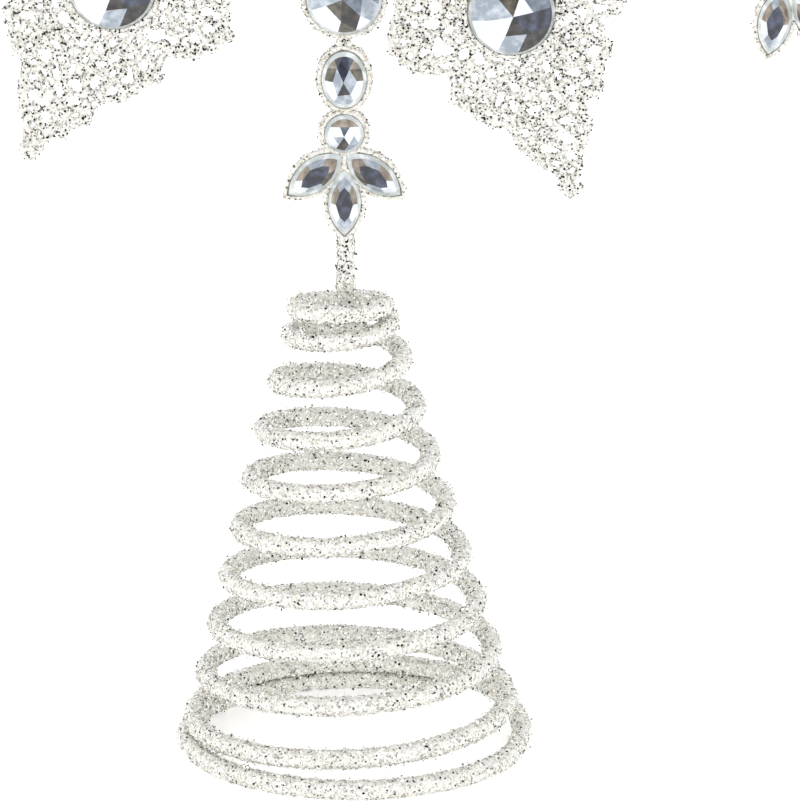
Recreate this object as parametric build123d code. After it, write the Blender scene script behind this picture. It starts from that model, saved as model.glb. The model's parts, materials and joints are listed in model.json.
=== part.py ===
from build123d import *
from math import cos, degrees, hypot, pi, radians, sin
import os

# Jewelled snowflake tree topper on a conical coil-spring foot.
# Millimetres, +Z up, front towards -Y. The origin is the centre of the foot's bottom coil,
# on the surface that the foot stands on. Turns of the wire are counted from +X, and the
# wire climbs from +X through +Y, -X and -Y.

# Spring foot: one glitter-coated wire
WIRE = 4.2
FOOT_RADIUS = 38.0
PITCH = 11.46
TAPER = 3.085            # radius lost per turn
CROWN_RADIUS = 10.5
CROWN_PITCH = 6.26
LEAN = -2.5              # how far the coils' axis has drifted along X
LEAN_HEIGHT = 75.0       # where it has drifted that far
START = 0.17             # turns
STEP_FROM, STEP_TO = 0.92, 1.15
STEP = WIRE + 0.05       # the second turn steps up onto the first end and rests there
LIFT_FROM, LIFT_TO = 1.38, 1.73
TAPER_FROM = 1.0
EASE_FROM, EASE_TO = 9.15, 9.63
TAPER_TO = TAPER_FROM + (FOOT_RADIUS - CROWN_RADIUS) / TAPER
LEVEL_FROM, LEVEL_TO = 10.66, 10.84
CURL_FROM = 10.88        # where the wire leaves its turn for the stem's axis
CURL_BEND = 2.9          # radius of its bend up into the stem
SECTIONS = (START, 1.30, 5.0, 7.0, EASE_FROM)
SECTION_GAP = 0.1
STEPS_PER_TURN = 24

# Stem: the same wire, straightened
STEM = 3.9
STEM_AT = -1.85          # along X
STEM_FOOT = 110.0
STEM_TOP = 137.0

# Snowflake
CENTRE_AT = -2.1         # along X
CENTRE_HEIGHT = 281.0
BACK_PLANE = -STEM / 2   # the backs of the arms rest on the stem's front
SETTING = 2.6            # thickness of the arms' settings
RIM = 1.2                # setting seen round each gem
MARQUISE_RIM = 0.7
SPINE = 3.2
POINTS = 8
ARM_DROOP = 2.6          # degrees that an arm at 90 degrees to the vertical hangs down
LEAF_TURN = -3.8         # degrees between the leaves and the arms' bisectors

# Gems: length, width, height
MARQUISE = (15.2, 7.4, 2.6)
OVAL = (13.0, 10.1, 3.0)
SMALL_ROUND = 8.8
SMALL_ROUND_HEIGHT = 2.8
LARGE_ROUND = 17.0
LARGE_ROUND_HEIGHT = 4.4
LEAF_ROUND = 19.4
LEAF_ROUND_HEIGHT = 5.0
GIRDLE = 0.8
TABLE = 0.55             # a gem's flat top, as a share of its outline
FAN_ANGLE = 53.4         # between the marquises of a fan

# Places along an arm, from the snowflake's centre
HUB_RADIUS = 19.0
FAN_ROOT = 141.0         # where the axes of a fan's outer marquises meet
FAN_MIDDLE_FROM = 144.2  # where its middle marquise begins
TIP_GAP = 0.4            # from there to the inner tips
OUTER_ROUND_AT = 136.4
OUTER_OVAL_AT = 124.0
LARGE_ROUND_AT = 105.2
INNER_OVAL_AT = 87.5
INNER_ROUND_AT = 75.0
PETAL_FROM = 25.0
HUB_THICKNESS = 4.6

# Leaf: a lace kite on a wire
LEAF_TIP = 159.5
LEAF_WIDEST = 115.4
LEAF_HALF_WIDTH = 29.3
LEAF_ROOT = 60.0
TIP_LOBE = 3.1           # radius
TIP_LOBE_AT = 157.2
NOTCHES = ((0.25, 3.2, 1.5), (0.60, 2.6, 1.0))  # share of an edge, radius, distance inside it
NECK = (0.885, 1.7, -0.4)  # the last notch before the tip
NOTCH_WALL = 1.6         # least lace between a notch and an opening
LEAF_THICKNESS = 2.4
LEAF_GAP = 0.2           # between the arms' backs and the leaves' fronts
LEAF_CORNER = 3.0
LACE_HOLE = 4.0
LACE_PITCH = 9.4
LACE_MARGIN = 5.2
LEAF_WIRE = 3.0


def ramp(turn, start, end):
    """Zero before start, a slope of one after end, and a smooth bend between."""
    if turn <= start:
        return 0.0
    if turn >= end:
        return turn - (start + end) / 2
    return (turn - start) ** 2 / (2 * (end - start))


def smooth_step(turn, start, end):
    """Zero before start, one after end."""
    share = min(max((turn - start) / (end - start), 0.0), 1.0)
    return share**2 * (3 - 2 * share)


def wire_height(turn):
    stepped = STEP * smooth_step(turn, STEP_FROM, STEP_TO)
    eased = (PITCH - CROWN_PITCH) * ramp(turn, EASE_FROM, EASE_TO)
    levelled = CROWN_PITCH * ramp(turn, LEVEL_FROM, LEVEL_TO)
    return WIRE / 2 + stepped + PITCH * ramp(turn, LIFT_FROM, LIFT_TO) - eased - levelled


def wire_radius(turn):
    return FOOT_RADIUS - TAPER * (min(max(turn, TAPER_FROM), TAPER_TO) - TAPER_FROM)


def wire_point(turn):
    """Centre of the wire: the coils' axis drifts by LEAN on the way up."""
    height = wire_height(turn)
    angle = 2 * pi * turn
    x = wire_radius(turn) * cos(angle) + LEAN * min(height / LEAN_HEIGHT, 1.0)
    return Vector(x, wire_radius(turn) * sin(angle), height)


def tube(path, diameter):
    return sweep(Plane(origin=path @ 0, z_dir=path % 0) * Circle(diameter / 2), path=path)


def coil(start, end):
    """The wire between two turns, just short of the next section."""
    count = round((end - start) * STEPS_PER_TURN)
    end -= SECTION_GAP / (2 * pi * wire_radius(end))
    points = [wire_point(start + (end - start) * i / count) for i in range(count + 1)]
    return tube(Spline(points), WIRE)


def curl():
    """A half circle from the last turn in to the stem's axis, its end bent up along the axis."""
    start = wire_point(CURL_FROM)
    middle = (start + Vector(STEM_AT, 0, start.Z)) / 2
    spoke = start - middle
    bent = degrees(CURL_BEND / spoke.length)
    for share in (0.2, 0.4, 0.6, 0.8, 1.0):
        yield middle + spoke.rotate(Axis.Z, share * (180 - bent))
    for tilt in (30, 60, 90):
        rise = Vector(0, 0, CURL_BEND * (1 - cos(radians(tilt))))
        yield middle + rise + spoke.rotate(Axis.Z, 180 - bent * (1 - sin(radians(tilt))))


def crown():
    """The last turns, which close up, curl in and turn up into the stem."""
    count = round((CURL_FROM - EASE_FROM) * STEPS_PER_TURN)
    step = (CURL_FROM - EASE_FROM) / count
    points = [wire_point(EASE_FROM + step * i) for i in range(count + 1)]
    points += [*curl(), Vector(STEM_AT, 0, STEM_FOOT)]
    above = Pos(STEM_AT, 0, STEM_FOOT + WIRE) * Box(3 * WIRE, 3 * WIRE, 2 * WIRE)
    return tube(Spline(points), WIRE) - above


def stem():
    axis = Line((STEM_AT, 0, STEM_FOOT), (STEM_AT, 0, STEM_TOP))
    return tube(axis, STEM)


def lens_outline(length, width, border=0.0):
    """A pointed oval: what two equal circles have in common."""
    radius = (length**2 + width**2) / (4 * width)
    shift = radius - width / 2
    left = Pos(-shift, 0) * Circle(radius + border)
    right = Pos(shift, 0) * Circle(radius + border)
    return left & right


def gem(outline, height):
    """A girdle, then a crown narrowing to the table, standing towards -Y."""
    girdle = extrude(outline, amount=GIRDLE)
    top = Pos(0, 0, height) * scale(outline, by=TABLE)
    crown_part = loft([(Pos(0, 0, GIRDLE) * outline).face(), top.face()])
    return Plane.XZ * (girdle + crown_part)


def at_radius(radius):
    """Local place on an arm that hangs straight down from the centre."""
    return Pos(0, -radius)


def fan_places():
    """The three marquises at an arm's tip, each from its inner tip outwards."""
    reach = MARQUISE[0] / 2 + TIP_GAP
    for angle, root in ((-FAN_ANGLE, FAN_ROOT), (0.0, FAN_MIDDLE_FROM), (FAN_ANGLE, FAN_ROOT)):
        middle = Pos(reach * sin(radians(angle)), -root - reach * cos(radians(angle)))
        yield middle * Rot(0, 0, angle)


def arm_setting():
    """The glittered plastic web that an arm's gems sit on."""
    spine = Pos(0, -(HUB_RADIUS + FAN_ROOT) / 2) * Rectangle(SPINE, FAN_ROOT - HUB_RADIUS + 2)
    web = spine + at_radius(LARGE_ROUND_AT) * Circle(LARGE_ROUND / 2 + RIM)
    for place in (OUTER_ROUND_AT, INNER_ROUND_AT):
        web += at_radius(place) * Circle(SMALL_ROUND / 2 + RIM)
    for place in (OUTER_OVAL_AT, INNER_OVAL_AT):
        web += at_radius(place) * Ellipse(OVAL[1] / 2 + RIM, OVAL[0] / 2 + RIM)
    for place in fan_places():
        web += place * lens_outline(MARQUISE[0], MARQUISE[1], MARQUISE_RIM)
    web -= Circle(HUB_RADIUS)
    return Plane.XZ * extrude(web, amount=SETTING)


def arm_small_gems():
    front = Pos(0, -SETTING, 0)
    oval = Ellipse(OVAL[1] / 2, OVAL[0] / 2)
    gems = [front * Pos(0, 0, -r) * gem(oval, OVAL[2]) for r in (OUTER_OVAL_AT, INNER_OVAL_AT)]
    small = gem(Circle(SMALL_ROUND / 2), SMALL_ROUND_HEIGHT)
    gems += [front * Pos(0, 0, -r) * small for r in (OUTER_ROUND_AT, INNER_ROUND_AT)]
    for place in fan_places():
        middle = place.position
        lens = gem(Rot(0, 0, place.orientation.Z) * lens_outline(*MARQUISE[:2]), MARQUISE[2])
        gems.append(front * Pos(middle.X, 0, middle.Y) * lens)
    return gems


def round_gem(diameter, height, radius, front):
    return Pos(0, front, -radius) * gem(Circle(diameter / 2), height)


def leaf_outline(inset=0.0):
    """Kite on its axis, tip outwards; inset moves its sides in."""
    kite = Polygon(
        (0, -LEAF_TIP),
        (LEAF_HALF_WIDTH, -LEAF_WIDEST),
        (0, -LEAF_ROOT),
        (-LEAF_HALF_WIDTH, -LEAF_WIDEST),
        align=None,
    )
    return offset(kite, amount=-inset, kind=Kind.INTERSECTION) if inset else kite


def notches():
    """Centre and radius of each notch in the kite's edges."""
    edges = [(LEAF_TIP, share) for share in (*NOTCHES, NECK)] + [(LEAF_ROOT, share) for share in NOTCHES]
    for end, (share, radius, inside) in edges:
        x = LEAF_HALF_WIDTH * (1 - share) - inside
        y = -LEAF_WIDEST - (end - LEAF_WIDEST) * share
        yield x, y, radius
        yield -x, y, radius


def leaf_lace():
    """Openwork plate: rows of round openings, all but where the gem is seated."""
    plate = fillet(leaf_outline().vertices(), LEAF_CORNER) + at_radius(TIP_LOBE_AT) * Circle(TIP_LOBE)
    for x, y, radius in notches():
        plate -= Pos(x, y) * Circle(radius)
    open_field = leaf_outline(LACE_MARGIN).face()
    reach = LACE_HOLE / 2 + NOTCH_WALL
    rows = int((LEAF_TIP - LEAF_ROOT) / LACE_PITCH)
    for row in range(rows):
        y = -LEAF_ROOT - LACE_PITCH * (row + 0.5)
        for column in range(-rows, rows + 1):
            x = LACE_PITCH * (column + 0.5 * (row % 2))
            clear_of_gem = hypot(x, y + LEAF_WIDEST) > (LEAF_ROUND + LACE_HOLE) / 2
            clear_of_notches = all(hypot(x - u, y - v) > r + reach for u, v, r in notches())
            if clear_of_gem and clear_of_notches and open_field.is_inside(Vector(x, y, 0)):
                plate -= Pos(x, y) * Circle(LACE_HOLE / 2)
    return Pos(0, LEAF_GAP + LEAF_THICKNESS, 0) * (Plane.XZ * extrude(plate, amount=LEAF_THICKNESS))


def leaf_wire():
    """Joins a leaf's root to the hub."""
    middle = LEAF_GAP + LEAF_THICKNESS / 2
    axis = Line((0, middle, -HUB_RADIUS + 1), (0, middle, -LEAF_ROOT - 4))
    plate = Plane.XZ * extrude(leaf_outline(), amount=2 * HUB_THICKNESS, both=True)
    return tube(axis, LEAF_WIRE) - plate - hub_plate()


def hub_plate():
    disc = Plane.XZ * extrude(Circle(HUB_RADIUS), amount=HUB_THICKNESS)
    return Pos(0, HUB_THICKNESS - SETTING, 0) * disc


def hub_petals():
    """Eight marquises that radiate from the hub's gem, each on the hub's face and the arms."""
    lens = gem(lens_outline(*MARQUISE[:2]), MARQUISE[2])
    petal = Pos(0, -SETTING, -PETAL_FROM + MARQUISE[0] / 4) * lens
    return [Rot(0, -360 / POINTS * (i + 0.5), 0) * petal for i in range(POINTS)]


def hub_gem():
    return Pos(0, -SETTING, 0) * gem(Circle(LARGE_ROUND / 2), LARGE_ROUND_HEIGHT)


def on_star(shape, angle=0.0):
    """From an arm that hangs straight down to one that has swung by angle towards +X."""
    return Pos(CENTRE_AT, BACK_PLANE, CENTRE_HEIGHT) * Rot(0, -angle, 0) * shape


def arm_angle(index):
    nominal = 360 / POINTS * index
    return nominal - ARM_DROOP * sin(radians(nominal))


def leaf_angle(index):
    return 360 / POINTS * (index + 0.5) + LEAF_TURN


def save(name, shape):
    solids = shape if isinstance(shape, list) else shape.solids()
    part = solids[0] if len(solids) == 1 else Compound(children=list(solids))
    export_step(part, f"parts/{name}.step")


def main():
    os.makedirs("parts", exist_ok=True)
    names = ("spring_base_ring", "spring_lower_coils", "spring_middle_coils", "spring_upper_coils")
    for name, start, end in zip(names, SECTIONS, SECTIONS[1:]):
        save(name, coil(start, end))
    save("spring_crown", crown())
    save("stem_rod", stem())

    save("hub_plate", on_star(hub_plate()))
    save("hub_gem", on_star(hub_gem()))
    save("hub_petal_gems", [on_star(petal) for petal in hub_petals()])

    setting = arm_setting()
    small_gems = arm_small_gems()
    large_gem = round_gem(LARGE_ROUND, LARGE_ROUND_HEIGHT, LARGE_ROUND_AT, -SETTING)
    lace = leaf_lace()
    wire = leaf_wire()
    leaf_gem = round_gem(LEAF_ROUND, LEAF_ROUND_HEIGHT, LEAF_WIDEST, LEAF_GAP)
    for index in range(POINTS):
        angle = arm_angle(index)
        save(f"arm_{index + 1}_setting", on_star(setting, angle))
        save(f"arm_{index + 1}_small_gems", [on_star(one, angle) for one in small_gems])
        save(f"arm_{index + 1}_large_gem", on_star(large_gem, angle))
        angle = leaf_angle(index)
        save(f"leaf_{index + 1}_lace", on_star(lace, angle))
        save(f"leaf_{index + 1}_wire", on_star(wire, angle))
        save(f"leaf_{index + 1}_gem", on_star(leaf_gem, angle))


main()
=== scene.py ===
import json
import math

import bpy
import numpy as np
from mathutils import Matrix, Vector
from mathutils.geometry import delaunay_2d_cdt

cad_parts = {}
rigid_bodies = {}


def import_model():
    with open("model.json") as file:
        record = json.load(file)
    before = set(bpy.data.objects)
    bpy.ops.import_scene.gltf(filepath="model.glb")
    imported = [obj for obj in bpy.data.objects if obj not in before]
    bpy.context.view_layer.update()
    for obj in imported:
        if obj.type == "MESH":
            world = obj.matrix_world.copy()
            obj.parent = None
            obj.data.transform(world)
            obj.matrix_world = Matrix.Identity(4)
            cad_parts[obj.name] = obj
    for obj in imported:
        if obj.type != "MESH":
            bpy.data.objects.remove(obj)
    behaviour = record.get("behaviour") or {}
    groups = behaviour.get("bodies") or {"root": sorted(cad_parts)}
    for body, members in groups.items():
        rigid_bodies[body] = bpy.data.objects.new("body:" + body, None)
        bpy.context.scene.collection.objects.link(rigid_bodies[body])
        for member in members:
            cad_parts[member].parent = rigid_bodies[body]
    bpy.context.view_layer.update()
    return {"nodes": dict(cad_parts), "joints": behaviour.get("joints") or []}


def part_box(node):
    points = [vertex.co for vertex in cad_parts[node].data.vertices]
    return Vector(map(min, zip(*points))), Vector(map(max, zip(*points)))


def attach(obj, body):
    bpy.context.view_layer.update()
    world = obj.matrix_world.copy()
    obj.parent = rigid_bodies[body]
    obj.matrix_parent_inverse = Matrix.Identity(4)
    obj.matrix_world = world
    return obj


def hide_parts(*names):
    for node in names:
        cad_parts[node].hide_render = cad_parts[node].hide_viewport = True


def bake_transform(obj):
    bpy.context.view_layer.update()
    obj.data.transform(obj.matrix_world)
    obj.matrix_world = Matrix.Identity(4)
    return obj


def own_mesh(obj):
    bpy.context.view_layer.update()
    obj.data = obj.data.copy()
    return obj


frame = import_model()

MM = 0.001
FRONT = np.array((0.0, -1.0, 0.0))
nodes = frame["nodes"]
joints = {joint["name"]: joint for joint in frame["joints"]}


# ---------------------------------------------------------------- camera, lights and stage

def make_camera():
    """A long lens a little above the spring foot, framing the foot and the lower arms."""
    width, distance, elevation = 180.0 * MM, 1.7, math.radians(16.9)
    target = Vector((10.24 * MM, 0.0, 81.3 * MM))
    data = bpy.data.cameras.new("camera")
    data.sensor_width = 36.0
    data.lens = data.sensor_width * distance / width
    data.clip_end = 100.0
    camera = bpy.data.objects.new("camera", data)
    back = Vector((0.0, -math.cos(elevation), math.sin(elevation)))
    camera.location = target + back * distance
    camera.rotation_euler = (-back).to_track_quat("-Z", "Y").to_euler()
    bpy.context.scene.collection.objects.link(camera)
    bpy.context.scene.camera = camera


def make_sun():
    """One weak soft light from the front, above."""
    data = bpy.data.lights.new("key", "SUN")
    data.energy = 0.5
    data.angle = math.radians(70)
    light = bpy.data.objects.new("key", data)
    light.rotation_euler = Vector((0.2, 1.0, -0.45)).to_track_quat("-Z", "Y").to_euler()
    bpy.context.scene.collection.objects.link(light)


def make_world():
    """A pale studio, dimmer overhead, with a bright panel in front that has a dark opening.
    A ramp over the direction's height is multiplied by one over its angle to the panel."""
    world = bpy.data.worlds.new("studio")
    bpy.context.scene.world = world
    world.use_nodes = True
    tree = world.node_tree
    tree.nodes.clear()
    place = tree.nodes.new("ShaderNodeTexCoord")
    apart = tree.nodes.new("ShaderNodeSeparateXYZ")
    tree.links.new(place.outputs["Generated"], apart.inputs[0])
    height = ramp_of(tree, ((0.35, (1.0, 1.0, 1.0)), (0.95, (0.62, 0.62, 0.63))), "LINEAR")
    tree.links.new(apart.outputs["Z"], height.inputs["Fac"])
    facing = tree.nodes.new("ShaderNodeVectorMath")
    facing.operation = "DOT_PRODUCT"
    facing.inputs[1].default_value = Vector((0.0, -0.957, 0.291))
    tree.links.new(place.outputs["Generated"], facing.inputs[0])
    glow = ((0.60, 0.76), (0.80, 1.0), (0.91, 1.0), (0.935, 0.02))
    panel = ramp_of(tree, [(position, (level, level, level)) for position, level in glow], "LINEAR")
    tree.links.new(facing.outputs["Value"], panel.inputs["Fac"])
    both = tree.nodes.new("ShaderNodeMix")
    both.data_type = "RGBA"
    both.blend_type = "MULTIPLY"
    both.inputs["Factor"].default_value = 1.0
    tree.links.new(height.outputs["Color"], both.inputs[6])
    tree.links.new(panel.outputs["Color"], both.inputs[7])
    sky = tree.nodes.new("ShaderNodeBackground")
    sky.inputs["Strength"].default_value = 1.6
    out = tree.nodes.new("ShaderNodeOutputWorld")
    tree.links.new(both.outputs[2], sky.inputs["Color"])
    tree.links.new(sky.outputs[0], out.inputs["Surface"])


def make_floor():
    """A wide pale plane that gives off a little light, like a lit table."""
    size = 150.0
    mesh = bpy.data.meshes.new("floor")
    corners = [(-size, -size, 0), (size, -size, 0), (size, size, 0), (-size, size, 0)]
    mesh.from_pydata(corners, [], [(0, 1, 2, 3)])
    floor = bpy.data.objects.new("floor", mesh)
    bpy.context.scene.collection.objects.link(floor)
    material, shader = new_material("pale_floor")
    shader.inputs["Base Color"].default_value = (0.93, 0.93, 0.93, 1)
    shader.inputs["Roughness"].default_value = 0.9
    shader.inputs["Specular IOR Level"].default_value = 0.1
    shader.inputs["Emission Color"].default_value = (1.0, 1.0, 1.0, 1)
    shader.inputs["Emission Strength"].default_value = 0.35
    mesh.materials.append(material)


# ---------------------------------------------------------------- materials

def new_material(name):
    """A material and its shader node."""
    material = bpy.data.materials.new(name)
    material.use_nodes = True
    return material, material.node_tree.nodes["Principled BSDF"]


def flake_metal(name, color, roughness):
    """One tone of cut metal foil."""
    material, shader = new_material(name)
    shader.inputs["Base Color"].default_value = (*color, 1)
    shader.inputs["Metallic"].default_value = 1.0
    shader.inputs["Roughness"].default_value = roughness
    return material


def ramp_of(tree, stops, interpolation):
    """A colour ramp through (position, colour) stops."""
    ramp = tree.nodes.new("ShaderNodeValToRGB")
    ramp.color_ramp.interpolation = interpolation
    for _ in range(len(stops) - 2):
        ramp.color_ramp.elements.new(0.5)
    for element, (position, color) in zip(ramp.color_ramp.elements, stops):
        element.position = position
        element.color = (*color, 1)
    return ramp


def glitter_coat(name, tones, grain):
    """Glue packed with fine glitter: each cell of a fine Voronoi pattern, grain apart, is a flake
    with its own tone and gloss."""
    material, shader = new_material(name)
    tree = material.node_tree
    place = tree.nodes.new("ShaderNodeTexCoord")
    cells = tree.nodes.new("ShaderNodeTexVoronoi")
    cells.inputs["Scale"].default_value = 1 / grain
    tree.links.new(place.outputs["Object"], cells.inputs["Vector"])
    pick = tree.nodes.new("ShaderNodeSeparateColor")
    tree.links.new(cells.outputs["Color"], pick.inputs["Color"])
    ramp = ramp_of(tree, tones, "CONSTANT")
    tree.links.new(pick.outputs["Red"], ramp.inputs["Fac"])
    tree.links.new(ramp.outputs["Color"], shader.inputs["Base Color"])
    shine = tree.nodes.new("ShaderNodeMapRange")
    shine.inputs["To Min"].default_value = 0.2
    shine.inputs["To Max"].default_value = 0.6
    tree.links.new(pick.outputs["Green"], shine.inputs["Value"])
    tree.links.new(shine.outputs["Result"], shader.inputs["Roughness"])
    bump = tree.nodes.new("ShaderNodeBump")
    bump.inputs["Strength"].default_value = 0.7
    bump.inputs["Distance"].default_value = 0.15 * MM
    tree.links.new(cells.outputs["Distance"], bump.inputs["Height"])
    tree.links.new(bump.outputs["Normal"], shader.inputs["Normal"])
    shader.inputs["Metallic"].default_value = 0.15
    return material


def gem_tone(name, dark, light, roughness=0.06):
    """Foil seen through clear acrylic, with a painted reflection of the studio as its tone where facets
    take it by their bearing: a tone that drifts a little within each facet, under a gloss.
    """
    material, shader = new_material(name)
    tree = material.node_tree
    place = tree.nodes.new("ShaderNodeTexCoord")
    drift = tree.nodes.new("ShaderNodeTexNoise")
    drift.inputs["Scale"].default_value = 1 / (2.2 * MM)
    drift.inputs["Detail"].default_value = 3.0
    tree.links.new(place.outputs["Object"], drift.inputs["Vector"])
    ramp = ramp_of(tree, ((0.42, dark), (0.72, light)), "LINEAR")
    tree.links.new(drift.outputs["Fac"], ramp.inputs["Fac"])
    tree.links.new(ramp.outputs["Color"], shader.inputs["Base Color"])
    shader.inputs["Metallic"].default_value = 0.25
    shader.inputs["Roughness"].default_value = roughness
    shader.inputs["Coat Weight"].default_value = 1.0
    shader.inputs["Coat Roughness"].default_value = 0.02
    shader.inputs["Coat IOR"].default_value = 1.49
    return material


FLAKES = [
    flake_metal("flake_white", (0.96, 0.96, 0.94), 0.16),
    flake_metal("flake_silver", (0.84, 0.84, 0.81), 0.12),
    flake_metal("flake_champagne", (0.83, 0.77, 0.67), 0.22),
    flake_metal("flake_smoke", (0.42, 0.41, 0.38), 0.25),
    flake_metal("flake_coal", (0.018, 0.016, 0.014), 0.4),
]
# The share of each tone of flake, in the order of FLAKES
WIRE_MIX = (0.60, 0.15, 0.14, 0.05, 0.06)
LACE_MIX = (0.40, 0.09, 0.09, 0.08, 0.34)
SETTING_MIX = (0.42, 0.14, 0.16, 0.08, 0.20)
# Flakes for each square millimetre
WIRE_DENSITY = 3.8
LACE_DENSITY = 3.0
SETTING_DENSITY = 3.0
LOOSE_SHARE = 0.06       # flakes that stand loose, in any direction
LEAST_LIFT = 0.02 * MM   # from the coat to a flake's middle

# The glue's tones, each from its position on
COAT_TONES = [
    (0.0, (0.95, 0.945, 0.91)),
    (0.42, (0.88, 0.87, 0.81)),
    (0.74, (0.78, 0.76, 0.68)),
    (0.92, (0.55, 0.52, 0.45)),
    (0.98, (0.16, 0.15, 0.13)),
]
WARM_TONES = [
    (0.0, (0.92, 0.91, 0.87)),
    (0.40, (0.82, 0.80, 0.73)),
    (0.70, (0.68, 0.64, 0.54)),
    (0.90, (0.42, 0.38, 0.30)),
    (0.97, (0.13, 0.12, 0.10)),
]
WIRE_COAT = glitter_coat("glitter_wire", COAT_TONES, 0.45 * MM)
LACE_COAT = glitter_coat("glitter_lace", COAT_TONES, 0.42 * MM)
SETTING_COAT = glitter_coat("glitter_setting", WARM_TONES, 0.45 * MM)

# Gem tones. All but rim, line and foil are painted reflections, given to facets by their bearing; line is
# the painted shade of the gap round each gem.
GEM = {
    "navy": gem_tone("gem_navy", (0.008, 0.011, 0.022), (0.085, 0.105, 0.17)),
    "slate": gem_tone("gem_slate", (0.10, 0.13, 0.17), (0.26, 0.31, 0.39)),
    "coal": gem_tone("gem_coal", (0.008, 0.008, 0.008), (0.085, 0.07, 0.07)),
    "olive": gem_tone("gem_olive", (0.05, 0.045, 0.035), (0.20, 0.18, 0.14)),
    "tan": gem_tone("gem_tan", (0.22, 0.18, 0.14), (0.50, 0.42, 0.35)),
    "rose": gem_tone("gem_rose", (0.30, 0.22, 0.21), (0.62, 0.52, 0.50)),
    "mist": gem_tone("gem_mist", (0.30, 0.35, 0.41), (0.62, 0.68, 0.75)),
    "white": gem_tone("gem_white", (0.76, 0.80, 0.86), (1.0, 1.0, 1.0)),
    "rim": gem_tone("gem_rim", (0.46, 0.50, 0.50), (0.84, 0.87, 0.87), 0.12),
    "line": gem_tone("gem_gap_shade", (0.10, 0.10, 0.08), (0.24, 0.23, 0.18), 0.3),
}
GEM["foil"] = flake_metal("gem_foil", (0.78, 0.79, 0.80), 0.35)
GEM_ORDER = list(GEM)


# ---------------------------------------------------------------- mesh helpers

def link_piece(name, mesh, body, replaced=()):
    """Put a mesh in the scene, riding its body if one is given."""
    piece = bpy.data.objects.new(name, mesh)
    bpy.context.scene.collection.objects.link(piece)
    if body:
        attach(piece, body)
    if replaced:
        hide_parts(*replaced)
    return piece


def polygon_mesh(name, corners, sides, tones, materials):
    """Separate flat polygons: each run of `sides` corners is one."""
    mesh = bpy.data.meshes.new(name)
    count = len(corners) // sides
    mesh.vertices.add(len(corners))
    mesh.vertices.foreach_set("co", corners.astype(np.float32).ravel())
    mesh.loops.add(len(corners))
    mesh.loops.foreach_set("vertex_index", np.arange(len(corners), dtype=np.int32))
    mesh.polygons.add(count)
    mesh.polygons.foreach_set("loop_start", np.arange(count, dtype=np.int32) * sides)
    for material in materials:
        mesh.materials.append(material)
    mesh.polygons.foreach_set("material_index", tones.astype(np.int32))
    mesh.update(calc_edges=True)
    return mesh


def coated(mesh, material):
    """The mesh with one material only."""
    mesh.materials.clear()
    mesh.materials.append(material)
    return mesh


def surface_points(mesh, per_mm2, rng):
    """Random points on a mesh, with the normals there."""
    mesh.calc_loop_triangles()
    places = np.empty(len(mesh.vertices) * 3)
    mesh.vertices.foreach_get("co", places)
    places = places.reshape(-1, 3)
    triangles = np.empty(len(mesh.loop_triangles) * 3, np.int32)
    mesh.loop_triangles.foreach_get("vertices", triangles)
    a, b, c = places[triangles.reshape(-1, 3)].transpose(1, 0, 2)
    normals = np.cross(b - a, c - a)
    doubled = np.linalg.norm(normals, axis=1)
    count = int(doubled.sum() / 2 / MM**2 * per_mm2)
    chosen = rng.choice(len(doubled), count, p=doubled / doubled.sum())
    s, t = rng.random((2, count, 1))
    flip = (s + t) > 1
    s, t = np.where(flip, 1 - s, s), np.where(flip, 1 - t, t)
    points = a[chosen] + s * (b - a)[chosen] + t * (c - a)[chosen]
    return points, normals[chosen] / doubled[chosen][:, None]


def unit(vectors):
    return vectors / np.linalg.norm(vectors, axis=-1, keepdims=True)


def flake_mesh(name, points, normals, mix, rng, size=0.52 * MM, tilt=0.42, proud=0.24 * MM):
    """Hexagonal glitter flakes on a surface, each a little tilted, and a few standing loose on it.
    proud is how far the highest fixed flake's middle stands out."""
    count = len(points)
    lean = tilt * rng.choice((0.4, 1.4), (count, 1), p=(0.6, 0.4))
    up = unit(normals + lean * rng.normal(0, 1, (count, 3)))
    lift = LEAST_LIFT + (proud - LEAST_LIFT) * rng.random((count, 1)) ** 2
    loose = rng.random((count, 1)) < LOOSE_SHARE
    lift += loose * rng.uniform(0.2, 0.6, (count, 1)) * MM
    up = np.where(loose, unit(rng.normal(0, 1, (count, 3))), up)
    side = unit(np.cross(up, rng.normal(0, 1, (count, 3))))
    other = np.cross(up, side)
    radius = size / 2 * rng.uniform(0.7, 1.25, (count, 1))
    centre = points + normals * lift
    sides = 6
    corners = np.empty((count, sides, 3))
    for k in range(sides):
        angle = math.pi / 3 * k
        corners[:, k] = centre + radius * (math.cos(angle) * side + math.sin(angle) * other)
    corners[:, :, 2] = np.maximum(corners[:, :, 2], 0.0)  # none below the floor
    tones = rng.choice(len(FLAKES), count, p=mix)
    return polygon_mesh(name, corners.reshape(-1, 3), sides, tones, FLAKES)


def rng_for(name):
    """A random stream of the piece's own, the same on every run."""
    return np.random.default_rng(sum(ord(letter) * (place + 1) for place, letter in enumerate(name)))


# ---------------------------------------------------------------- wire: spring, stem and leaf wires

def wire_thickness():
    low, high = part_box("stem_rod")
    return high.x - low.x


def wire_section(node, body, shaped=None):
    """A length of coated wire and its flakes; shaped(), if given, is applied to both, and one that blends
    leaves them riding no body.
    """
    coat = coated(nodes[node].data.copy(), WIRE_COAT)
    rng = rng_for(node)
    points, normals = surface_points(coat, WIRE_DENSITY, rng)
    mix = WIRE_MIX if node.startswith("spring") else LACE_MIX
    flakes = flake_mesh(node + "_flakes", points, normals, mix, rng)
    rides = None if shaped and shaped.blends else body
    pieces = [
        link_piece(node + "_coat", coat, rides, (node,)),
        link_piece(node + "_glitter", flakes, rides),
    ]
    if shaped:
        for piece in pieces:
            shaped(piece)


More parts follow.
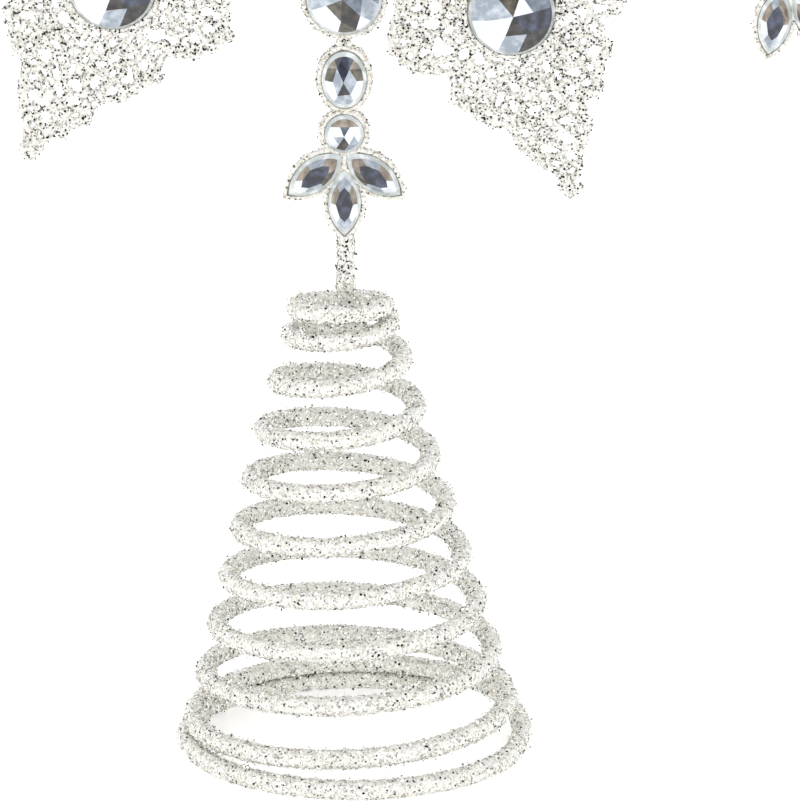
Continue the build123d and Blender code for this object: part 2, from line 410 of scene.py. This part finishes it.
class Flatten:
    """Works out how much of the section, measured up from its lower end, would stay as the slide closes;
    the section only gets a mesh of its own, unchanged.
    """
    blends = False

    def __init__(self, joint, node):
        low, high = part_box(node)
        travel = -min(joints[joint]["range_m"])
        self.joint, self.low = joint, low.z
        self.keep = 1 - travel / (high.z - wire_thickness() / 2 - low.z)

    def __call__(self, piece):
        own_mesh(piece)


class Bend:
    """Finds the bodies that its hinge joins and points one thickness of wire inside the section's ends;
    the section is only baked into place, unbent, and rides no body."""
    blends = True

    def __init__(self, joint, node):
        low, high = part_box(node)
        self.pair = joints[joint]["parent"], joints[joint]["child"]
        self.start = 0, 0, low.z + wire_thickness()
        self.end = 0, 0, high.z - wire_thickness()

    def __call__(self, piece):
        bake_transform(piece)


def make_wire():
    wire_section("spring_base_ring", "foot")
    wire_section("spring_lower_coils", "foot", Flatten("spring_compress", "spring_lower_coils"))
    wire_section("spring_middle_coils", "middle_coils", Bend("spring_nod", "spring_middle_coils"))
    wire_section("spring_upper_coils", "upper_coils", Bend("spring_sway", "spring_upper_coils"))
    for node in ["spring_crown", "stem_rod"] + [n for n in nodes if n.endswith("_wire")]:
        wire_section(node, "snowflake")


# ---------------------------------------------------------------- gems

def grid_key(point):
    """The point in hundredths of a millimetre, so that doubled points count as one."""
    return tuple(round(c / (0.01 * MM)) for c in point)


def islands(node):
    """The separate solids of a node: the points of each."""
    mesh = nodes[node].data
    parent = list(range(len(mesh.vertices)))

    def root(i):
        while parent[i] != i:
            parent[i] = parent[parent[i]]
            i = parent[i]
        return i

    seen = {}
    for vertex in mesh.vertices:
        parent[root(vertex.index)] = root(seen.setdefault(grid_key(vertex.co), vertex.index))
    for edge in mesh.edges:
        a, b = edge.vertices
        parent[root(a)] = root(b)
    groups = {}
    for vertex in mesh.vertices:
        groups.setdefault(root(vertex.index), []).append(vertex.co)
    return [np.array(group) for group in groups.values()]


class Seat:
    """Where a gem sits: its centre on the setting, its long axis, and its length, width and height."""

    def __init__(self, points):
        low, high = points.min(0), points.max(0)
        self.back = high[1]
        self.height = high[1] - low[1]
        outline = points[points[:, 1] > high[1] - 0.1 * MM][:, (0, 2)]
        spans = []
        for degree in range(180):
            axis = np.array((math.sin(math.radians(degree)), math.cos(math.radians(degree))))
            along = outline @ axis
            spans.append((along.max() - along.min(), axis))
        self.length, self.axis = max(spans, key=lambda span: span[0])
        self.width = min(spans, key=lambda span: span[0])[0]
        if self.length / self.width < 1.05:
            self.axis = np.array((0.0, 1.0))
        self.across = np.array((self.axis[1], -self.axis[0]))
        middles = []
        for axis in (self.axis, self.across):
            along = outline @ axis
            middles.append((along.max() + along.min()) / 2)
        self.centre = middles[0] * self.axis + middles[1] * self.across
        self.kind = self.find_kind()

    def find_kind(self):
        if self.length / self.width > 1.6:
            return "marquise"
        if self.length / self.width > 1.15:
            return "oval"
        if self.length < 12 * MM:
            return "button"
        return "round" if self.length < 18 * MM else "large"

    def outline(self, turn, scale=1.0):
        """A point of the outline, turn running from 0 to 1 from the long axis' far end."""
        angle = 2 * math.pi * turn
        half_length, half_width = self.length / 2 * scale, self.width / 2 * scale
        if self.kind != "marquise":
            return half_length * math.cos(angle), half_width * math.sin(angle)
        radius = (half_length**2 + half_width**2) / (2 * half_width)
        along = half_length * math.cos(angle)
        side = math.sqrt(max(radius**2 - along**2, 0)) - (radius - half_width)
        return along, math.copysign(side, math.sin(angle))

    def place(self, along, across, rise):
        """The point this far along and across the seat, and in front of its back."""
        flat = self.centre + along * self.axis + across * self.across
        return flat[0], self.back - rise, flat[1]

    def bearing(self, along, across):
        """Degrees clockwise from straight up, seen from the front."""
        flat = along * self.axis + across * self.across
        return math.degrees(math.atan2(flat[0], flat[1])) % 360


# The painted reflection each facet shows: its tone is picked by the way it faces, standing in for the part
# of the studio it would reflect, by its bearing: (up to this many degrees clockwise from straight up, tone)
MARQUISE_SIDE_REFLECTIONS = (
    (14, "mist"), (82, "tan"), (104, "olive"), (160, "white"), (200, "mist"), (256, "white"),
    (278, "olive"), (346, "tan"), (360, "mist"),
)
OVAL_MIDDLE_REFLECTIONS = ((40, "navy"), (150, "mist"), (212, "coal"), (320, "mist"), (360, "navy"))
OVAL_EDGE_REFLECTIONS = (
    (18, "navy"), (46, "tan"), (80, "olive"), (150, "white"), (205, "mist"), (280, "white"),
    (314, "olive"), (342, "tan"), (360, "navy"),
)
BUTTON_MIDDLE_REFLECTIONS = ((30, "slate"), (150, "white"), (210, "coal"), (270, "mist"), (330, "white"), (360, "coal"))
BUTTON_EDGE_REFLECTIONS = ((50, "tan"), (110, "white"), (170, "mist"), (200, "olive"), (310, "white"), (360, "tan"))
ROUND_MIDDLE_REFLECTIONS = ((60, "olive"), (120, "slate"), (180, "coal"), (240, "olive"), (300, "mist"), (360, "coal"))
ROUND_EDGE_REFLECTIONS = (
    (20, "tan"), (60, "olive"), (96, "slate"), (118, "mist"), (148, "white"), (172, "coal"),
    (196, "olive"), (255, "white"), (300, "mist"), (330, "coal"), (360, "tan"),
)
LARGE_MIDDLE_REFLECTIONS = ((50, "white"), (112, "navy"), (170, "coal"), (250, "white"), (300, "mist"), (360, "olive"))
LARGE_EDGE_REFLECTIONS = (
    (18, "olive"), (40, "white"), (80, "slate"), (112, "navy"), (163, "coal"), (190, "mist"),
    (248, "white"), (266, "rose"), (330, "mist"), (360, "tan"),
)


# The tone of the painted reflection for a facet with this bearing
def painted_reflection_at(steps, bearing):
    return next(tone for limit, tone in steps if bearing % 360 <= limit)


class Facets:
    """Collects a gem's points and flat facets."""

    def __init__(self):
        self.points, self.faces, self.tones = [], [], []

    def point(self, place):
        self.points.append(place)
        return len(self.points) - 1

    def ring(self, seat, count, scale, rise):
        """Points round the seat's outline at this scale and rise."""
        return [self.point(seat.place(*seat.outline(k / count, scale), rise)) for k in range(count)]

    def face(self, corners, tone):
        self.faces.append(corners)
        self.tones.append(GEM_ORDER.index(tone))

    def band(self, lower, upper, tone):
        """Four-sided facets between two rings."""
        count = len(lower)
        for k in range(count):
            after = (k + 1) % count
            self.face([lower[k], lower[after], upper[after], upper[k]], tone)


SMOOTH = 72              # points of a gem's round outline
# the dark band of this width round each gem is painted shade of the gap between gem and setting
FLANGE = 0.28 * MM       # dark gap between a gem and its setting


def gem_rim(gem, seat, inner_scale, inner_rise):
    """The foil back, the dark line at the seat, which is painted shade of the gap between the gem and its
    setting, the clear girdle and the bevel inside it, whose inner ring is returned."""
    wide = 1 + 2 * FLANGE / seat.width
    outer = gem.ring(seat, SMOOTH, wide, 0.0)
    line = gem.ring(seat, SMOOTH, wide, 0.25 * MM)
    foot = gem.ring(seat, SMOOTH, 1.0, 0.3 * MM)
    girdle = gem.ring(seat, SMOOTH, 0.985, 0.28 * seat.height)
    bevel = gem.ring(seat, SMOOTH, inner_scale, inner_rise)
    gem.face(outer[::-1], "foil")
    # the dark band across the gap round the gem is painted shade
    gem.band(outer, line, "line")
    gem.band(line, foot, "line")
    gem.band(foot, girdle, "rim")
    gem.band(girdle, bevel, "rim")
    return bevel


def arc_of(ring, start, end):
    """The ring's corners from one share of a turn to another."""
    count = len(ring)
    return [ring[round(count * start + k) % count] for k in range(round(count * (end - start)) + 1)]


def marquise_gem(gem, seat):
    """A long flat table between two rows of side facets."""
    bevel = gem_rim(gem, seat, 0.80, 0.50 * seat.height)
    corners = 8
    table = gem.ring(seat, corners, 0.52, 0.97 * seat.height)
    for k in range(corners):
        after = (k + 1) % corners
        mid = np.mean([gem.points[table[k]], gem.points[table[after]]], axis=0)
        bearing = math.degrees(math.atan2(mid[0] - seat.centre[0], mid[2] - seat.centre[1])) % 360
        edge = arc_of(bevel, k / corners, (k + 1) / corners)
        # each side facet's tone is a painted reflection, picked by its bearing
        gem.face(edge + [table[after], table[k]], painted_reflection_at(MARQUISE_SIDE_REFLECTIONS, bearing))
    # the flat table faces the front and is painted navy, a painted dark reflection
    gem.face(table, "navy")


def rose_gem(middle_reflections, edge_reflections, turned):
    """A cut of six triangles that meet at the middle, and a ring of triangles and halved kites."""

    def cut(gem, seat):
        bevel = gem_rim(gem, seat, 1 - 1.6 * MM / seat.width, 0.45 * seat.height)
        sides = 6
        rng = np.random.default_rng(round(1000 * seat.width / MM))
        inner = []
        for k in range(sides):
            turn, scale = (k + turned + rng.uniform(-0.07, 0.07)) / sides, rng.uniform(0.48, 0.60)
            inner.append(gem.point(seat.place(*seat.outline(turn, scale), 0.84 * seat.height)))
        top = gem.point(seat.place(*rng.uniform(-0.03, 0.03, 2) * seat.width, seat.height))
        for k in range(sides):
            after = (k + 1) % sides
            middle = (k + 0.5 + turned) / sides
            bearing = seat.bearing(*seat.outline(middle))
            # each facet's tone is a painted reflection, picked by its bearing
            gem.face([inner[k], inner[after], top], painted_reflection_at(middle_reflections, bearing))
            tip = bevel[round(SMOOTH * middle) % SMOOTH]
            gem.face([inner[k], tip, inner[after]], painted_reflection_at(edge_reflections, bearing))
            for start, end in ((middle - 1 / sides, middle - 0.5 / sides), (middle - 0.5 / sides, middle)):
                bearing = seat.bearing(*seat.outline((start + end) / 2))
                gem.face(arc_of(bevel, start, end) + [inner[k]], painted_reflection_at(edge_reflections, bearing))

    return cut


CUTS = {
    "marquise": marquise_gem,
    "oval": rose_gem(OVAL_MIDDLE_REFLECTIONS, OVAL_EDGE_REFLECTIONS, 0.5),
    "button": rose_gem(BUTTON_MIDDLE_REFLECTIONS, BUTTON_EDGE_REFLECTIONS, 0.5),
    "round": rose_gem(ROUND_MIDDLE_REFLECTIONS, ROUND_EDGE_REFLECTIONS, 0.2),
    "large": rose_gem(LARGE_MIDDLE_REFLECTIONS, LARGE_EDGE_REFLECTIONS, 0.3),
}


def gem_piece(node):
    """Cut every gem of a node, as one piece, and return their seats."""
    gem = Facets()
    seats = [Seat(points) for points in islands(node)]
    for seat in seats:
        CUTS[seat.kind](gem, seat)
    mesh = bpy.data.meshes.new(node + "_cut")
    mesh.from_pydata(gem.points, [], gem.faces)
    for tone in GEM_ORDER:
        mesh.materials.append(GEM[tone])
    mesh.polygons.foreach_set("material_index", np.array(gem.tones, np.int32))
    mesh.update()
    link_piece(node + "_cut", mesh, "snowflake", (node,))
    return seats


# ---------------------------------------------------------------- settings: the webs that arms' gems sit on

BEAD_RADIUS = 0.5 * MM


def tube_ring(points, radius):
    """A closed tube along a flat outline in the XZ plane."""
    sides = 8
    points = np.array(points)
    ahead = unit(np.roll(points, -1, 0) - np.roll(points, 1, 0))
    outward = np.cross(ahead, FRONT)
    rings = []
    for k in range(sides):
        angle = 2 * math.pi * k / sides
        rings.append(points + radius * (math.cos(angle) * outward + math.sin(angle) * FRONT))
    verts = np.array(rings).transpose(1, 0, 2).reshape(-1, 3)
    count = len(points)
    faces = []
    for i in range(count):
        for k in range(sides):
            a, b = i * sides + k, i * sides + (k + 1) % sides
            c, d = (i + 1) % count * sides + (k + 1) % sides, (i + 1) % count * sides + k
            faces.append((a, b, c, d))
    return verts, faces


def setting(node, seats):
    """The CAD web under glitter, with a raised bead of it round every gem."""
    web = coated(nodes[node].data.copy(), SETTING_COAT)
    link_piece(node + "_coat", web, "snowflake", (node,))
    steps = 64
    verts, faces = [], []
    for seat in seats:
        wide = 1 + 2 * (BEAD_RADIUS * 0.9) / seat.width
        path = [seat.place(*seat.outline(k / steps, wide), 0.1 * MM) for k in range(steps)]
        ring_verts, ring_faces = tube_ring(path, BEAD_RADIUS)
        faces += [tuple(i + len(verts) for i in face) for face in ring_faces]
        verts += ring_verts.tolist()
    bead = bpy.data.meshes.new(node + "_bead")
    bead.from_pydata(verts, [], faces)
    bead.materials.append(SETTING_COAT)
    bead.update()
    link_piece(node + "_bead", bead, "snowflake")
    rng = rng_for(node)
    web_points, bead_points = (surface_points(mesh, SETTING_DENSITY, rng) for mesh in (web, bead))
    points, normals = (np.concatenate(both) for both in zip(web_points, bead_points))
    shown = np.ones(len(points), bool)
    for seat in seats:
        flat = points[:, (0, 2)] - seat.centre
        along, across = flat @ seat.axis, flat @ seat.across
        reach = np.hypot(along / (seat.length / 2), across / (seat.width / 2))
        under_the_gem = (reach < 1.0) & (points[:, 1] < seat.back + 0.5 * MM)
        shown &= ~under_the_gem
    flakes = flake_mesh(node + "_flakes", points[shown], normals[shown], SETTING_MIX, rng)
    link_piece(node + "_glitter", flakes, "snowflake")


# ---------------------------------------------------------------- lace leaves

LACE_CELL = 3.5 * MM
ROW_STEP = 0.87 * LACE_CELL
RIM_INSET = 1.1 * MM
LACE_VOXEL = 0.38 * MM


def box_centre(node):
    low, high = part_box(node)
    return np.array(((low.x + high.x) / 2, (low.z + high.z) / 2))


class Leaf:
    """A leaf's own frame: out from the hub along its axis and across it, and its outline there."""

    def __init__(self, index):
        self.node = f"leaf_{index}_lace"
        self.hub = box_centre("hub_plate")
        gem = box_centre(f"leaf_{index}_gem")
        self.axis = unit(gem - self.hub)
        self.across = np.array((self.axis[1], -self.axis[0]))
        self.gem_at = float(np.linalg.norm(gem - self.hub))
        low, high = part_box(f"leaf_{index}_gem")
        self.gem_radius = (high.x - low.x) / 2
        points = np.array([vertex.co for vertex in nodes[self.node].data.vertices])
        self.middle = (points[:, 1].min() + points[:, 1].max()) / 2
        flat = points[:, (0, 2)] - self.hub
        out, side = flat @ self.axis, flat @ self.across
        self.root, self.tip = out.min(), out.max()
        self.half = np.abs(side).max()
        self.outline = self.edge()

    def edge(self):
        """The plate's outline, in order, as (out, side): the longest loop round its flat front."""
        mesh = nodes[self.node].data
        spots, ends = {}, {}
        for face in mesh.polygons:
            if face.normal.y > -0.99:
                continue
            places = [mesh.vertices[v].co for v in face.vertices]
            corners = [grid_key(place) for place in places]
            spots.update(zip(corners, places))
            for a, b in zip(corners, corners[1:] + corners[:1]):
                if a in ends.get(b, ()):
                    ends[b].remove(a)
                else:
                    ends.setdefault(a, []).append(b)
        loops = []
        while any(ends.values()):
            here = next(spot for spot in ends if ends[spot])
            loop = []
            while ends.get(here):
                loop.append(here)
                here = ends[here].pop()
            loops.append(loop)
        flat = np.array([(spots[spot].x, spots[spot].z) for spot in max(loops, key=len)]) - self.hub
        return np.stack((flat @ self.axis, flat @ self.across), 1)

    def inside(self, out, side, margin):
        """Whether a point is inside the outline by at least margin."""
        start, end = self.outline, np.roll(self.outline, -1, 0)
        ahead, away = end - start, np.array((out, side)) - start
        share = np.clip((ahead * away).sum(1) / (ahead**2).sum(1), 0, 1)
        if np.linalg.norm(away - ahead * share[:, None], axis=1).min() < margin:
            return False
        crossing = (start[:, 1] > side) != (end[:, 1] > side)
        climb = np.where(ahead[:, 1] == 0, 1, ahead[:, 1])
        reach = start[:, 0] + (side - start[:, 1]) * ahead[:, 0] / climb
        return bool((crossing & (reach > out)).sum() % 2)

    def world(self, out, side, depth):
        """The point in the frame, depth behind the middle of the plate."""
        flat = self.hub + out * self.axis + side * self.across
        return flat[0], self.middle + depth, flat[1]


def edge_points(leaf, spacing, inset, rng):
    """Points just inside the plate's outline, a little uneven."""
    start, end = leaf.outline, np.roll(leaf.outline, -1, 0)
    run = np.concatenate(((0,), np.cumsum(np.linalg.norm(end - start, axis=1))))
    closed = np.concatenate((start, start[:1]))

    def on_outline(at):
        at = at % run[-1]
        return np.stack((np.interp(at, run, closed[:, 0]), np.interp(at, run, closed[:, 1])), 1)

    count = round(run[-1] / spacing)
    at = (np.arange(count) + rng.uniform(-0.15, 0.15, count)) / count * run[-1]
    ahead = unit(on_outline(at + inset) - on_outline(at - inset))
    leftward = np.stack((-ahead[:, 1], ahead[:, 0]), 1)
    (x, y), (next_x, next_y) = (start - start.mean(0)).T, (end - start.mean(0)).T
    winding = np.sign((x * next_y - y * next_x).sum())
    return list(map(tuple, on_outline(at) + inset * winding * leftward))


def lace_network(leaf, rng):
    """Strands of lace: the walls between cells scattered over the plate, and its rim. Returns the
    strands' ends as (out, side), the strands as pairs of ends, and which ends are on the rim."""
    rim = edge_points(leaf, LACE_CELL, RIM_INSET, rng)
    points = list(rim)
    rows = int((leaf.tip - leaf.root) / ROW_STEP) + 1
    columns = int(leaf.half / LACE_CELL) + 1
    for row in range(rows):
        for column in range(-columns, columns + 1):
            out = leaf.root + ROW_STEP * row + rng.normal(0, 0.2 * LACE_CELL)
            side = LACE_CELL * (column + 0.5 * (row % 2)) + rng.normal(0, 0.2 * LACE_CELL)
            if leaf.inside(out, side, RIM_INSET + 0.55 * LACE_CELL):
                points.append((out, side))
    count = len(rim)
    loop = [(k, (k + 1) % count) for k in range(count)]
    found, _, triangles, *_ = delaunay_2d_cdt([Vector(p) / MM for p in points], loop, [], 1, 1e-4)
    places, strands, owner, border = [], [], {}, {}
    for triangle in triangles:
        here = len(places)
        mid = sum((found[i] for i in triangle), Vector((0, 0))) / 3 * MM
        places.append((mid.x, mid.y))
        for a, b in zip(triangle, triangle[1:] + triangle[:1]):
            pair = frozenset((a, b))
            if pair in owner:
                strands.append((owner.pop(pair), here))
            else:
                owner[pair] = here
    for pair, here in owner.items():
        mid = sum((found[i] for i in pair), Vector((0, 0))) / 2 * MM
        places.append((mid.x, mid.y))
        border[pair] = len(places) - 1
        strands.append((here, len(places) - 1))
    meeting = {}
    for pair, here in border.items():
        for corner in pair:
            meeting.setdefault(corner, []).append(here)
    strands += [tuple(two) for two in meeting.values() if len(two) == 2]
    return places, strands, set(border.values())


def lace_solid(leaf, rng):
    """Bars and knots of the network, merged into one skin."""
    places, strands, border = lace_network(leaf, rng)
    verts, faces, knots = [], [], []
    for index, (out, side) in enumerate(places):
        radius = rng.uniform(0.95, 1.5) * MM if index in border else rng.uniform(0.75, 1.2) * MM
        depth = rng.uniform(-0.45, 0.45) * MM
        spread = rng.normal(0, 0.35 * MM, 2)
        knots.append((Vector(leaf.world(out + spread[0], side + spread[1], depth)), radius))
    for centre, radius in knots:
        add_ball(verts, faces, centre, radius)
    for a, b in strands:
        broken = rng.random() <= 0.07
        if not broken:
            add_bar(verts, faces, knots[a][0], knots[b][0], rng.uniform(0.65, 0.95) * MM)
    seat_ring(verts, faces, leaf)
    mesh = bpy.data.meshes.new(leaf.node + "_bars")
    mesh.from_pydata(verts, [], faces)
    return merged(mesh, LACE_VOXEL, leaf.node + "_coat")


def add_ball(verts, faces, centre, radius):
    rings, around = 6, 8
    first = len(verts)
    verts.append(centre + Vector((0, 0, radius)))
    for ring in range(1, rings):
        lift = math.pi * ring / rings
        for k in range(around):
            angle = 2 * math.pi * k / around
            flat, up = radius * math.sin(lift), radius * math.cos(lift)
            verts.append(centre + Vector((flat * math.cos(angle), flat * math.sin(angle), up)))
    verts.append(centre - Vector((0, 0, radius)))
    last = len(verts) - 1
    for k in range(around):
        after = (k + 1) % around
        faces.append((first, first + 1 + k, first + 1 + after))
        base = last - around
        faces.append((last, base + after, base + k))
        for ring in range(rings - 2):
            low = first + 1 + ring * around
            faces.append((low + k, low + around + k, low + around + after, low + after))


def add_bar(verts, faces, start, end, radius):
    sides = 7
    ahead = (end - start).normalized()
    across = ahead.orthogonal().normalized()
    other = ahead.cross(across)
    first = len(verts)
    for point in (start, end):
        for k in range(sides):
            angle = 2 * math.pi * k / sides
            verts.append(point + radius * (math.cos(angle) * across + math.sin(angle) * other))
    for k in range(sides):
        after = (k + 1) % sides
        faces.append((first + k, first + after, first + sides + after, first + sides + k))
    faces.append(tuple(range(first + sides - 1, first - 1, -1)))
    faces.append(tuple(range(first + sides, first + 2 * sides)))


def seat_ring(verts, faces, leaf):
    """Knots and bars in a circle under the gem's edge."""
    count = 28
    radius = leaf.gem_radius + 0.5 * MM
    ring = []
    for k in range(count):
        angle = 2 * math.pi * k / count
        out, side = leaf.gem_at + radius * math.cos(angle), radius * math.sin(angle)
        ring.append(Vector(leaf.world(out, side, -0.6 * MM)))
    for k in range(count):
        add_ball(verts, faces, ring[k], 1.05 * MM)
        add_bar(verts, faces, ring[k], ring[(k + 1) % count], 0.95 * MM)


def merged(mesh, voxel, name):
    """One closed skin round everything in the mesh."""
    source = bpy.data.objects.new(name + "_source", mesh)
    bpy.context.scene.collection.objects.link(source)
    remesh = source.modifiers.new("skin", "REMESH")
    remesh.mode = "VOXEL"
    remesh.voxel_size = voxel
    smooth = source.modifiers.new("settle", "SMOOTH")
    smooth.iterations = 1
    smooth.factor = 0.5
    depsgraph = bpy.context.evaluated_depsgraph_get()
    result = bpy.data.meshes.new_from_object(source.evaluated_get(depsgraph))
    result.name = name
    bpy.data.objects.remove(source)
    return result


def make_leaf(index):
    leaf = Leaf(index)
    rng = rng_for(leaf.node)
    coat = coated(lace_solid(leaf, rng), LACE_COAT)
    link_piece(leaf.node + "_coat", coat, "snowflake", (leaf.node,))
    points, normals = surface_points(coat, LACE_DENSITY, rng)
    flakes = flake_mesh(
        leaf.node + "_flakes", points, normals, LACE_MIX, rng, size=0.5 * MM, tilt=0.6, proud=0.35 * MM
    )
    link_piece(leaf.node + "_glitter", flakes, "snowflake")


# ---------------------------------------------------------------- assembly

def make_star():
    count = sum(1 for node in nodes if node.startswith("arm_") and node.endswith("_setting"))
    for index in range(1, count + 1):
        seats = gem_piece(f"arm_{index}_small_gems") + gem_piece(f"arm_{index}_large_gem")
        setting(f"arm_{index}_setting", seats)
        make_leaf(index)
        gem_piece(f"leaf_{index}_gem")
    setting("hub_plate", gem_piece("hub_gem") + gem_piece("hub_petal_gems"))


make_camera()
make_world()
make_sun()
make_floor()
make_wire()
make_star()
bpy.context.scene.view_settings.view_transform = "Standard"
